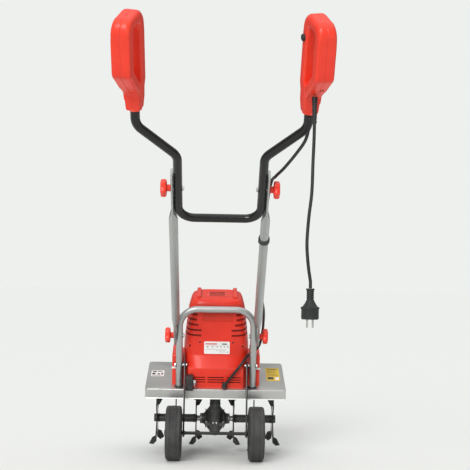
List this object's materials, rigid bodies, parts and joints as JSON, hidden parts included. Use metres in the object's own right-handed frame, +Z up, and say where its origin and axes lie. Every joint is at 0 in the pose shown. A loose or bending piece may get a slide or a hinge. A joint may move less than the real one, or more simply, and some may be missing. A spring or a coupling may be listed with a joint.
{
  "type": "electric garden tiller",
  "caption": "Corded electric garden tiller with bent tine stars under a sheet guard, swinging transport wheels and a two-part folding handle with loop grips.",
  "frame": {"origin": "on the ground under the middle of the machine", "axes": "+Z up, +Y forwards towards the tines, +X to the user's right"},
  "size_m": [0.497, 1.17, 1.1411],
  "materials": {
    "red_plastic": "satin moulded",
    "black_plastic": "matte",
    "guard_paint": "satin",
    "silver_paint": "satin silver",
    "black_paint": "gloss",
    "cast_grey": "rough cast",
    "bare_steel": "bare",
    "wheel_rubber": "matte",
    "copper": "bare",
    "bronze": "bare",
    "cord_grey": "matte"
  },
  "bodies": {
    "chassis": {"guard_plate": "guard_paint", "gearbox_upper_case": "cast_grey", "gearbox_lower_case": "cast_grey", "bearing_cap_left": "bare_steel", "bearing_cap_right": "bare_steel", "motor_adapter": "cast_grey", "motor_bearing": "bare_steel", "stator": "cast_grey", "motor_base": "red_plastic", "motor_cover_rear": "red_plastic", "motor_cover_front": "red_plastic", "motor_top_cap": "red_plastic", "arch_frame": "silver_paint", "pivot_bolt_left": "bare_steel", "pivot_bolt_right": "bare_steel", "lock_block": "black_plastic"},
    "tines": {"tine_shaft": "bare_steel", "tine_hub_left": "black_paint", "tine_hub_right": "black_paint", "tine_star_left_1": "black_paint", "tine_star_left_2": "black_paint", "tine_star_left_3": "black_paint", "tine_star_right_1": "black_paint", "tine_star_right_2": "black_paint", "tine_star_right_3": "black_paint", "worm_wheel": "bronze"},
    "armature": {"armature_shaft": "bare_steel", "armature_core": "copper", "commutator": "copper", "cooling_fan": "black_plastic"},
    "wheel_bracket": {"bracket_arm_left": "black_paint", "bracket_arm_right": "black_paint", "wheel_axle": "black_paint"},
    "wheel_left": {"wheel_left": "wheel_rubber"},
    "wheel_right": {"wheel_right": "wheel_rubber"},
    "lock_pin": {"lock_pin": "bare_steel"},
    "lower_handle": {"lower_tube_left": "silver_paint", "lower_tube_right": "silver_paint", "lower_bolt_left": "bare_steel", "lower_bolt_right": "bare_steel", "upper_bolt_left": "bare_steel", "upper_bolt_right": "bare_steel", "cable_clip": "black_plastic", "motor_cable": "black_plastic"},
    "upper_handle": {"upper_tube": "black_paint", "grip_left_inner": "red_plastic", "grip_left_outer": "red_plastic", "grip_right_inner": "red_plastic", "grip_right_outer": "red_plastic", "strain_relief": "black_plastic", "mains_cord": "cord_grey", "plug": "cord_grey"},
    "switch_lever": {"switch_lever": "black_plastic"},
    "lock_off_button": {"lock_off_button": "black_plastic"},
    "lower_knob_left": {"lower_knob_left": "red_plastic"},
    "lower_knob_right": {"lower_knob_right": "red_plastic"},
    "upper_knob_left": {"upper_knob_left": "red_plastic"},
    "upper_knob_right": {"upper_knob_right": "red_plastic"}
  },
  "joints": [
    {"name": "tine_spin", "type": "hinge", "parent": "chassis", "child": "tines", "pos_m": [0, 0.48475, 0.1], "axis": [-1, 0, 0], "continuous": true},
    {"name": "armature_spin", "type": "hinge", "parent": "chassis", "child": "armature", "pos_m": [0, 0.44682, 0.08898], "axis": [0, -0.279, 0.9603], "continuous": true},
    {"name": "bracket_swing", "type": "hinge", "parent": "chassis", "child": "wheel_bracket", "pos_m": [0, 0.33277, 0.27974], "axis": [-1, 0, 0], "range_deg": [0, 90]},
    {"name": "wheel_left_spin", "type": "hinge", "parent": "wheel_bracket", "child": "wheel_left", "pos_m": [-0.1232, 0.29285, 0.0805], "axis": [-1, 0, 0], "continuous": true},
    {"name": "wheel_right_spin", "type": "hinge", "parent": "wheel_bracket", "child": "wheel_right", "pos_m": [0.1232, 0.29285, 0.0805], "axis": [-1, 0, 0], "continuous": true},
    {"name": "lock_pin_pull", "type": "slide", "parent": "chassis", "child": "lock_pin", "axis": [1, 0, 0], "range_m": [0, 0.008], "stiffness_N_per_m": 300},
    {"name": "lower_fold", "type": "hinge", "parent": "chassis", "child": "lower_handle", "pos_m": [0, 0.30645, 0.3704], "axis": [-1, 0, 0], "range_deg": [0, 70], "deforming": ["motor_cable"]},
    {"name": "upper_fold", "type": "hinge", "parent": "lower_handle", "child": "upper_handle", "pos_m": [0, -0.20015, 0.7688], "axis": [-1, 0, 0], "range_deg": [0, 150]},
    {"name": "switch_squeeze", "type": "hinge", "parent": "upper_handle", "child": "switch_lever", "pos_m": [0.21935, -0.55443, 1.09419], "axis": [-0.9703, -0.2029, -0.1318], "range_deg": [0, 3.5], "stiffness_Nm_per_rad": 2},
    {"name": "lock_off_press", "type": "slide", "parent": "upper_handle", "child": "lock_off_button", "axis": [0.9703, 0.2029, 0.1318], "range_m": [0, 0.004], "stiffness_N_per_m": 300},
    {"name": "lower_knob_left_turn", "type": "hinge", "parent": "lower_handle", "child": "lower_knob_left", "pos_m": [0, 0.30645, 0.3704], "axis": [-1, 0, 0], "continuous": true},
    {"name": "lower_knob_right_turn", "type": "hinge", "parent": "lower_handle", "child": "lower_knob_right", "pos_m": [0, 0.30645, 0.3704], "axis": [1, 0, 0], "continuous": true},
    {"name": "upper_knob_left_turn", "type": "hinge", "parent": "lower_handle", "child": "upper_knob_left", "pos_m": [0, -0.20015, 0.7688], "axis": [-1, 0, 0], "continuous": true},
    {"name": "upper_knob_right_turn", "type": "hinge", "parent": "lower_handle", "child": "upper_knob_right", "pos_m": [0, -0.20015, 0.7688], "axis": [1, 0, 0], "continuous": true}
  ],
  "couplings": [
    {"joint": "armature_spin", "follows": "tine_spin", "ratio": -30}
  ]
}
